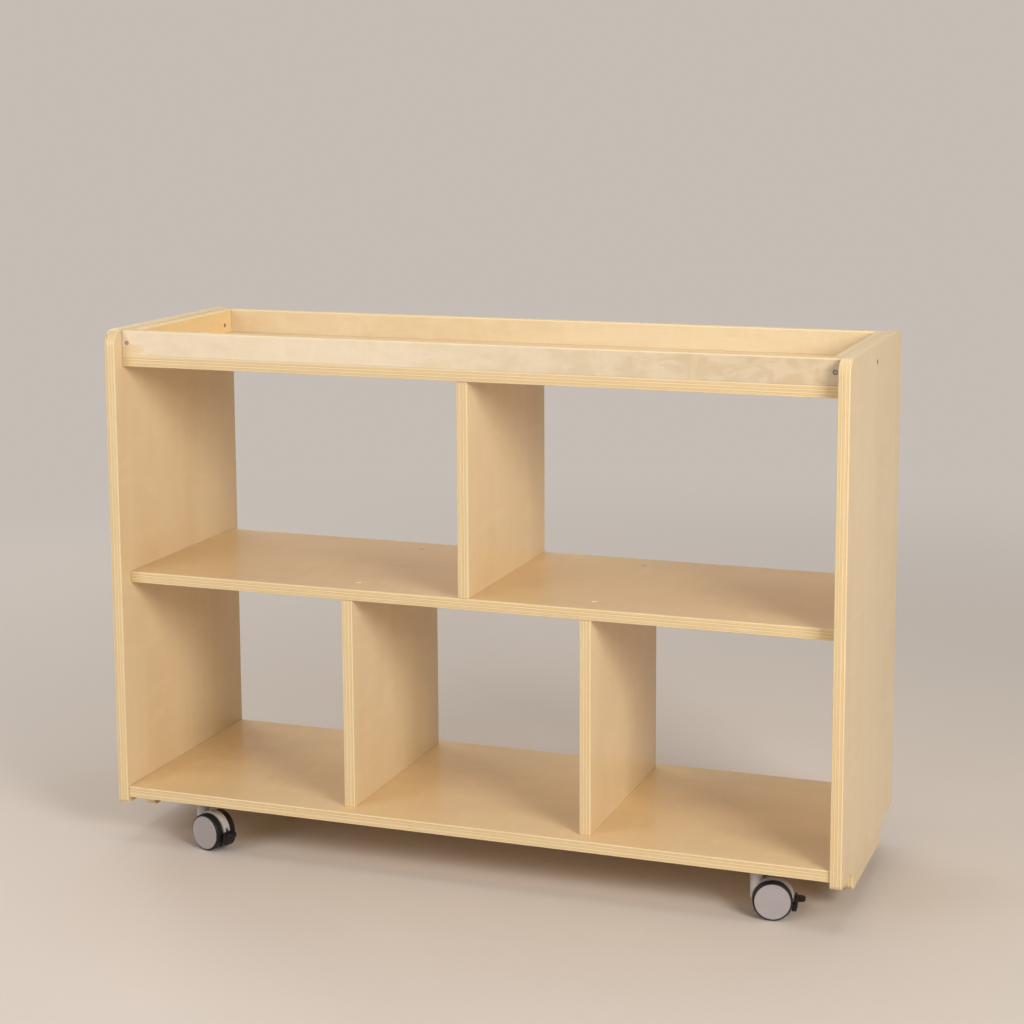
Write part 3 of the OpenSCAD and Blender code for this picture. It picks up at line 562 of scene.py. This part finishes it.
def metal(name, tone, roughness, rim=None):
    """Plated steel with fine uneven polish.

    rim gives the X and Z of a row of heads that face front and back, and the radius past
    which each head gets a painted shade: a dark ring where the head's tilted rim catches little
    light, darkest at the right.
    """
    polish_scale, scratch_scale, relief = 420.0, 2700.0, 0.02 * MM
    r = Recipe(name)
    mist = r.noise(r.place.outputs["Object"], polish_scale, 3.0, 0.6)
    fine = r.noise(r.place.outputs["Object"], scratch_scale, 2.0)
    base = r.blend(r.span(mist, 0.35, 0.7, 0.0, 0.45), tuple(tone), tuple(c * 0.72 for c in tone))
    if rim:
        at = r.split(r.place.outputs["Object"])
        head_x, head_z, head = rim
        x, z = r.minus(r.math("ABSOLUTE", at["X"]), head_x), r.minus(at["Z"], head_z)
        reach = r.math("SQRT", r.plus(r.times(x, x), r.times(z, z)))
        outside = r.span(reach, head * 0.85, head * 1.2, 0.0, 0.85)
        # painted shade: a dark ring past the rim radius on each head, heavier on the heads at the right
        painted_rim_shade = r.times(outside, r.span(at["X"], -0.3, 0.3, 0.35, 1.0))
        base = r.blend(painted_rim_shade, base, tuple(c * 0.12 for c in tone))
    r.bump(fine, relief)
    return r.set(base_color=base, metallic=1.0, roughness=r.plus(roughness - 0.08, r.times(mist, 0.16)))


def moulded(name, tone, roughness, texture, depth, spread, coat=0.0):
    """Moulded plastic or rubber: a fine spark-eroded texture and slight unevenness of tone.

    texture is the scale and depth the height of the fine texture, and spread is how much
    darker the darkest patches are.
    """
    patch_scale = 95.0
    r = Recipe(name)
    skin = r.noise(r.place.outputs["Object"], texture, 2.0, 0.6)
    cloud = r.noise(r.place.outputs["Object"], patch_scale, 3.0, 0.55)
    base = r.blend(r.span(cloud, 0.3, 0.7), tuple(tone), tuple(c * (1 - spread) for c in tone))
    base = r.blend(r.span(skin, 0.45, 0.75, 0.0, 0.2), base, tuple(min(1.0, c * 1.25) for c in tone))
    r.bump(skin, depth)
    return r.set(
        base_color=base, roughness=r.plus(roughness - 0.05, r.times(cloud, 0.10)), coat_weight=coat,
        coat_roughness=0.2, specular_ior_level=0.3,
    )


def finish_node(node, material):
    """Gives a CAD node's object one material in every slot."""
    for slot in frame["nodes"][node].material_slots:
        slot.material = material


# Operators


class SHELF_OT_side_panels(bpy.types.Operator):
    """Side panels with eased edges, feet, rounded top corners and a countersunk hole"""

    bl_idname = "shelf.side_panels"
    bl_label = "Side panels"

    def execute(self, context):
        """Makes each panel of rings that run from the screw's hole out to the rim and back.

        A ring is the outline, drawn in along its normals, or the hole's circle toward the
        outline's points. The rim's two arrises are quarter circles.
        """
        wood, panel = context.scene.shelf_wood, context.scene.shelf_panel
        bend = np.linspace(0, np.pi / 2, 6)
        inset, sunk = wood.arris * (1 - np.sin(bend)), wood.arris * (1 - np.cos(bend))
        support = wood.arris + 0.4 * MM
        head, shank = panel.screw_head / 2 + CLEARANCE, panel.screw_shank / 2 + CLEARANCE
        for node, side, label, seed in (
            ("side_panel_left", -1, "Left", 11.0), ("side_panel_right", 1, "Right", 28.0),
        ):
            low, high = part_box(node)
            front, rear, skirt, top = low[1], high[1], low[2], high[2]
            front_step, rear_step = front + panel.front_foot, rear - panel.rear_foot
            rim, normals = rounded_loop([
                (front, top, panel.top_corner), (front, panel.foot_z, panel.foot_corner),
                (front_step, panel.foot_z, panel.step_corner), (front_step, skirt, panel.step_corner),
                (rear_step, skirt, panel.step_corner), (rear_step, panel.foot_z, panel.step_corner),
                (rear, panel.foot_z, panel.foot_corner), (rear, top, panel.top_corner),
            ], 12)
            outer, thickness = high[0] if side > 0 else low[0], high[0] - low[0]
            hole = np.array([0.0, panel.screw_z])
            away = (rim - hole) / np.linalg.norm(rim - hole, axis=1, keepdims=True)
            rows = [
                (hole + shank * away, thickness), (hole + shank * away, head - shank),
                (hole + head * away, 0.0), (rim - support * normals, 0.0),
            ]
            rows += [(rim - e * normals, d) for e, d in zip(inset, sunk)]
            rows += [(rim - e * normals, thickness - d) for e, d in zip(inset[::-1], sunk[::-1])]
            rows += [(rim - support * normals, thickness)]
            points = np.concatenate([
                np.column_stack([np.full(len(ring), outer - side * depth), ring]) for ring, depth in rows
            ])
            faces = outward(points, grid_faces(len(rows), len(rim), True, True))
            veneer = plywood("birch " + node.replace("_", " "), node, "X", "Z", seed, (0.955, 1.005, 1.07))
            add_piece("Side_Panel_" + label, [(points, faces)], "shelf", veneer, (node,))
        return {"FINISHED"}


class SHELF_OT_boards(bpy.types.Operator):
    """Shelves and dividers in birch plywood"""

    bl_idname = "shelf.boards"
    bl_label = "Shelves and dividers"

    def execute(self, context):
        for node, across, along, seed, tint, dark in (
            ("bottom_shelf", "Z", "X", 2.0, (1.01, 0.99, 0.91), 0.5),
            # the middle shelf's darker, warmer tint is painted shade, standing in for the shade of the top
            # shelf above it
            ("middle_shelf", "Z", "X", 5.0, (0.96, 0.935, 0.86), 0.5),
            ("top_shelf", "Z", "X", 8.0, (1.02, 1.02, 0.99), 0.5),
            ("upper_divider", "X", "Z", 31.0, (0.955, 1.01, 1.08), 0.3),
            ("lower_divider_left", "X", "Z", 37.0, (0.9359, 0.9898, 1.0584), 0.3),
            ("lower_divider_right", "X", "Z", 43.0, (0.96455, 1.0201, 1.0908), 0.3),
        ):
            low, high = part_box(node)
            axis = "XYZ".index(along)
            joints = ((along, low[axis], high[axis], dark),)
            name = "birch " + node.replace("_", " ")
            finish_node(node, plywood(name, node, across, along, seed, tint, joints=joints))
        return {"FINISHED"}


class SHELF_OT_rails(bpy.types.Operator):
    """Tray rails in figured birch plywood"""

    bl_idname = "shelf.rails"
    bl_label = "Tray rails"

    def execute(self, context):
        low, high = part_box("tray_front_rail")
        between = ("X", low[0], high[0], 0.7)
        above = high[2] + 1  # no joint there
        joints = (between, ("Z", low[2], above, 0.22))
        patch = (low[0] + 19 * MM, low[2] + 10 * MM, 22 * MM, 9 * MM)
        # painted shade: the front rail runs from its lit colour at the left end to a darker colour towards the
        # right, where less light falls
        painted_falloff = (-0.30, 0.60, (0.67, 0.54, 0.365))
        finish_node("tray_front_rail", plywood(
            "birch front rail", "tray_front_rail", "Y", "X", 53.0, (1.04, 1.17, 1.46), 0.30, joints, patch, painted_falloff
        ))
        finish_node("tray_back_rail", plywood(
            "birch back rail", "tray_back_rail", "Y", "X", 59.0, (0.95, 1.07, 1.26), 0.22, joints
        ))
        for side, seed in (("left", 61.0), ("right", 67.0)):
            node = "tray_end_rail_" + side
            low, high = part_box(node)
            joints = (("Y", low[1], high[1], 0.5), ("Z", low[2], above, 0.35), between)
            finish_node(node, plywood(
                "birch end rail " + side, node, "X", "Y", seed, (1.0, 0.98, 0.86), 0.2, joints
            ))
        return {"FINISHED"}


class SHELF_OT_fasteners(bpy.types.Operator):
    """Screws, wooden plugs and dowels"""

    bl_idname = "shelf.fasteners"
    bl_label = "Fasteners"

    def execute(self, context):
        steel = context.scene.shelf_caster.steel
        plain = metal("zinc plated screws", steel, 0.36)
        for node in ("divider_screws", "tray_end_screws", "tray_floor_screws", "caster_plate_screws"):
            finish_node(node, plain)
        # the tray corner screws get a painted shade, a dark ring round each head, heavier at the right
        low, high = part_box("tray_corner_screws")
        head = (high[2] - low[2]) / 2
        rim = (high[0] - head, high[2] - head, head * 0.6)
        finish_node("tray_corner_screws", metal("tray corner screws", [c * 1.3 for c in steel], 0.36, rim))
        finish_node("side_panel_screws", metal("dark side screws", (0.050, 0.036, 0.028), 0.42))
        # the plugs at the rear take a dark brown as painted shade, standing in for the shade of a recess
        finish_node("screw_plugs", plain_wood(
            "birch plugs", (1.0, 0.93, 0.76), (0.92, 0.78, 0.54), "X", (0.50, 0.34, 0.19)
        ))
        finish_node("shelf_dowels", plain_wood("beech dowels", (0.66, 0.44, 0.24), (0.48, 0.29, 0.14), "X"))
        return {"FINISHED"}


class SHELF_OT_wheels(bpy.types.Operator):
    """Black wheels with crowned treads"""

    bl_idname = "shelf.wheels"
    bl_label = "Wheels"

    def execute(self, context):
        """Turns each wheel's profile, radius by height, from the bore's inner end round to its outer end.

        The inner side has a raised hub and a hollow ring round it, and the outer side a seat for
        the cap. The tread falls away from its middle with the square of the distance, and its
        shoulders are quarter circles.
        """
        sizes = context.scene.shelf_caster
        rubber = moulded("black tyres", sizes.tyre, 0.44, 1900.0, 0.03 * MM, 0.25)
        wide, edge, seat = sizes.wheel_width, sizes.shoulder, sizes.cap_radius + CLEARANCE
        bore, seam = 3.1 * MM, 1.1 * MM
        hub, hub_face, hollow, hollow_floor = 9.5 * MM, 0.2 * MM, 22.5 * MM, 3.0 * MM
        cap_seat, cap_chamfer = wide - 2.0 * MM, wide - 0.25 * MM
        bend = np.linspace(0, np.pi / 2, 9)
        tread = np.linspace(edge, wide - edge, 13)
        crown = sizes.crown * ((tread - wide / 2) / (wide / 2 - edge)) ** 2
        for corner in CORNERS:
            for side, axle, out, reach in wheel_places(corner):
                radius = axle[2]
                fall = radius - sizes.crown - edge
                profile = np.concatenate([
                    [(bore, hub_face), (hub, hub_face), (9.9 * MM, hollow_floor)],
                    [(hollow, hollow_floor), (23.2 * MM, 0.5 * MM)],
                    [(fall - seam, 0.35 * MM), (fall - seam * 0.5, 0.0)],
                    np.column_stack([fall + edge * np.sin(bend), edge - edge * np.cos(bend)]),
                    np.column_stack([radius - crown, tread])[1:-1],
                    np.column_stack([fall + edge * np.cos(bend), wide - edge + edge * np.sin(bend)]),
                    [(seat + 0.3 * MM, wide), (seat, cap_chamfer)],
                    [(seat, cap_seat), (bore, cap_seat)],
                ])
                shape = lathe(profile, axle + out * (reach - wide / 2), out, UP)
                name, node = f"{corner.title()}_{side.title()}_Wheel", f"{corner}_{side}_wheel"
                add_piece(name, [shape], node + "_set", rubber, (node,))
        return {"FINISHED"}


class SHELF_OT_caps(bpy.types.Operator):
    """Flat grey caps with a soft edge and a shallow dish"""

    bl_idname = "shelf.caps"
    bl_label = "Wheel caps"

    def execute(self, context):
        """Turns each cap's profile, radius by height, from the middle of its face to its back.

        The dish rises to the rim on a smooth step, and the rim is a quarter circle.
        """
        sizes = context.scene.shelf_caster
        grey = moulded("grey caps", sizes.cap, 0.42, 3200.0, 0.01 * MM, 0.03)
        rim, proud, dish = sizes.cap_radius, sizes.cap_proud, sizes.cap_dish
        round_edge, back, slope_start, slope = 0.7 * MM, -1.6 * MM, 22.6 * MM, 1.4 * MM
        flat_rings = (0.0, 8 * MM, 17 * MM)
        bend, ramp = np.linspace(0, np.pi / 2, 6), np.linspace(0, 1, 7)
        floor, inner, level = proud - dish, rim - round_edge, proud - round_edge
        profile = np.concatenate([
            [(radius, floor) for radius in flat_rings],
            np.column_stack([slope_start + slope * ramp, floor + dish * ramp ** 2 * (3 - 2 * ramp)]),
            np.column_stack([inner + round_edge * np.sin(bend), level + round_edge * np.cos(bend)]),
            [(rim, back), (0.0, back)],
        ])
        for corner in CORNERS:
            for side, axle, out, reach in wheel_places(corner):
                shape = lathe(profile, axle + out * (reach + sizes.wheel_width / 2), out, UP)
                name, body = f"{corner.title()}_{side.title()}_Cap", f"{corner}_{side}_wheel_set"
                add_piece(name, [shape], body, grey, (f"{corner}_{side}_cap",))
        return {"FINISHED"}


class SHELF_OT_housings(bpy.types.Operator):
    """Light grey necks and hoods with a thin rib along both edges of the hood"""

    bl_idname = "shelf.housings"
    bl_label = "Housings"

    def execute(self, context):
        """Softens each housing, and sweeps each rib's squared ring along an arc about the axle.

        The ring's two coordinates are a cosine and a sine, each drawn toward a square by a
        power below one. Both ends close in the ring's middle.
        """
        sizes = context.scene.shelf_caster
        grey = moulded("light grey housings", sizes.housing, 0.30, 2400.0, 0.01 * MM, 0.05, 0.2)
        sides, squareness = 12, 0.6
        sweep_start, sweep_end, stations = -6.5, 122.0, 90  # degrees up from the trailing direction
        turn = np.linspace(0, 2 * np.pi, sides, endpoint=False)
        circle = np.array([np.cos(turn), np.sin(turn)])
        wave = np.sign(circle) * np.abs(circle) ** squareness
        sweep = np.radians(np.linspace(sweep_start, sweep_end, stations))[:, None]
        for corner in CORNERS:
            along, cross, axle = caster_frame(corner)
            title, body = corner.title(), corner + "_caster"
            softened_copy(title + "_Housing", corner + "_housing", body, grey, 0.4 * MM)
            spoke = np.cos(sweep) * along + np.sin(sweep) * np.array(UP, float)
            radius = axle[2] + sizes.hood_rise + sizes.rib * 0.30 * wave[1]
            ribs = []
            for side in (-1, 1):
                across = side * (sizes.hood_width / 2 - sizes.rib * 0.62) + sizes.rib / 2 * wave[0]
                ring = axle + radius[None, :, None] * spoke[:, None, :] + across[None, :, None] * cross
                middle = ring.mean(axis=1, keepdims=True)
                ends = [np.repeat(middle[end], sides, axis=1) for end in (slice(0, 1), slice(-1, None))]
                points = np.concatenate([ends[0], ring, ends[1]]).reshape(-1, 3)
                ribs.append((points, outward(points, grid_faces(len(ring) + 2, sides, False, True))))
            add_piece(title + "_Hood_Ribs", ribs, body, grey, sharp=50)
        return {"FINISHED"}


class SHELF_OT_levers(bpy.types.Operator):
    """Black brake levers with softened edges"""

    bl_idname = "shelf.levers"
    bl_label = "Brake levers"

    def execute(self, context):
        black = moulded("black levers", context.scene.shelf_caster.lever, 0.38, 2200.0, 0.02 * MM, 0.2)
        for corner in CORNERS:
            name, node = corner.title() + "_Brake_Lever", corner + "_brake_lever"
            softened_copy(name, node, corner + "_brake", black, 0.7 * MM)
        return {"FINISHED"}


class SHELF_OT_mountings(bpy.types.Operator):
    """Plates, kingpins and axles of the casters"""

    bl_idname = "shelf.mountings"
    bl_label = "Caster plates and pins"

    def execute(self, context):
        plated = metal("zinc plated caster steel", context.scene.shelf_caster.steel, 0.34)
        for corner in CORNERS:
            for piece in ("plate", "kingpin", "axle"):
                finish_node(f"{corner}_{piece}", plated)
        return {"FINISHED"}


class SHELF_OT_stage(bpy.types.Operator):
    """Plain floor, soft studio light and the camera"""

    bl_idname = "shelf.stage"
    bl_label = "Stage"

    def execute(self, context):
        stage, scene = context.scene.shelf_stage, context.scene
        self.floor(stage)
        self.world(stage, scene)
        soft, warm = (1.0, 0.97, 0.93), (1.0, 0.96, 0.90)
        for name, watts, size, place, tone in (
            ("Front left light", stage.left_power, 1.4, (-1.6, -2.4, 1.5), (1.0, 0.98, 0.97)),
            ("Right light", stage.side_power, 1.3, (3.0, -2.2, 2.0), warm),
            ("Front right light", stage.right_power, 1.1, (2.5, -2.7, 2.1), warm),
            ("Top light", stage.over_power, 2.4, (0.0, 0.2, 3.4), soft),
            ("Back light", stage.behind_power, 2.2, (-1.2, 3.0, 3.6), soft),
            ("Left rear light", stage.rear_power, 1.4, (-2.9, 2.1, 1.6), soft),
        ):
            self.lamp(name, watts, size, place, tone)
        view = bpy.data.cameras.new("Photo view")
        view.lens, view.sensor_width, view.shift_y = stage.lens, 36.0, stage.shift
        view.clip_start, view.clip_end = 0.05, 60.0
        camera = bpy.data.objects.new("Photo view", view)
        scene.collection.objects.link(camera)
        level = Euler((math.pi / 2 - stage.pitch, 0, stage.yaw)).to_matrix()
        turn = level @ Matrix.Rotation(stage.roll, 3, "Z")
        camera.matrix_world = Matrix.Translation(stage.camera) @ turn.to_4x4()
        scene.camera = camera
        scene.view_settings.view_transform = "Standard"
        return {"FINISHED"}

    def floor(self, stage):
        """Flat round floor that passes into the plain background away from the shelf.

        The share of the background grows from none at the near radius to all at the far one.
        """
        reach, near, far = 14.0, 0.75, 3.4
        angle = np.linspace(0, 2 * np.pi, 96, endpoint=False)
        rim = np.column_stack([np.cos(angle), np.sin(angle), np.zeros_like(angle)]) * reach
        mesh = bpy.data.meshes.new("Floor")
        mesh.from_pydata(rim.tolist(), [], [list(range(len(rim)))])
        floor = bpy.data.objects.new("Floor", mesh)
        bpy.context.scene.collection.objects.link(floor)
        r = Recipe("plain floor")
        cloud = r.noise(r.place.outputs["Object"], 1.4, 3.0)
        tone = r.blend(r.span(cloud, 0.3, 0.7), tuple(stage.floor), tuple(c * 0.985 for c in stage.floor))
        mesh.materials.append(r.set(base_color=tone, roughness=0.7, specular_ior_level=0.25))
        at = r.split(r.place.outputs["Object"])
        away = r.math("SQRT", r.plus(r.times(at["X"], at["X"]), r.times(at["Y"], at["Y"])))
        plain = r.light("Emission", stage.backdrop, stage.backdrop_strength)
        r.mix_shaders(r.times(r.seen(), r.span(away, near, far)), r.shader.outputs[0], plain, r.output)

    def world(self, stage, scene):
        """Light that is stronger from the front than from behind, with a plain background."""
        world = bpy.data.worlds.new("Soft studio")
        world.use_nodes = True
        scene.world = world
        r = Steps(world.node_tree)
        output = r.nodes.new("ShaderNodeOutputWorld")
        towards = r.split(r.nodes.new("ShaderNodeTexCoord").outputs["Generated"])
        ahead, behind = -0.7, 0.6
        strength = r.nodes.new("ShaderNodeMapRange")
        values = (towards["Y"], ahead, behind, stage.sky_front, stage.sky_back)
        for socket, value in zip(strength.inputs, values):
            r.feed(socket, value)
        sky = r.light("Background", stage.sky, strength.outputs[0])
        plain = r.light("Background", stage.backdrop, stage.backdrop_strength)
        r.mix_shaders(r.seen(), sky, plain, output)

    def lamp(self, name, watts, size, place, tone):
        """Square soft light at a place, turned to the middle of the shelf."""
        middle = Vector((0, 0, 0.4))
        light = bpy.data.lights.new(name, "AREA")
        light.energy, light.size, light.color = watts, size, tone
        lamp = bpy.data.objects.new(name, light)
        bpy.context.scene.collection.objects.link(lamp)
        turn = (middle - Vector(place)).to_track_quat("-Z", "Y").to_matrix()
        lamp.matrix_world = Matrix.Translation(place) @ turn.to_4x4()


class SHELF_PT_sidebar(bpy.types.Panel):
    """Classroom shelf"""

    bl_label = "Classroom shelf"
    bl_space_type = "VIEW_3D"
    bl_region_type = "UI"
    bl_category = "Shelf"

    def draw(self, context):
        for operator in OPERATORS:
            self.layout.operator(operator.bl_idname)
        for group in GROUPS:
            settings = getattr(context.scene, group)
            box = self.layout.box()
            for name in settings.bl_rna.properties.keys():
                if name not in ("rna_type", "name"):
                    box.prop(settings, name)


GROUPS = {
    "shelf_wood": ShelfWood, "shelf_panel": ShelfPanel, "shelf_caster": ShelfCaster, "shelf_stage": ShelfStage,
}
OPERATORS = (
    SHELF_OT_side_panels, SHELF_OT_boards, SHELF_OT_rails, SHELF_OT_fasteners, SHELF_OT_wheels, SHELF_OT_caps,
    SHELF_OT_housings, SHELF_OT_levers, SHELF_OT_mountings, SHELF_OT_stage,
)


def register():
    for part in (*GROUPS.values(), *OPERATORS, SHELF_PT_sidebar):
        bpy.utils.register_class(part)
    for name, group in GROUPS.items():
        setattr(bpy.types.Scene, name, PointerProperty(type=group))


def unregister():
    for name in GROUPS:
        delattr(bpy.types.Scene, name)
    for part in reversed((*GROUPS.values(), *OPERATORS, SHELF_PT_sidebar)):
        bpy.utils.unregister_class(part)


def main():
    register()
    for operator in OPERATORS:
        group, name = operator.bl_idname.split(".")
        getattr(getattr(bpy.ops, group), name)()


if __name__ == "__main__":
    main()
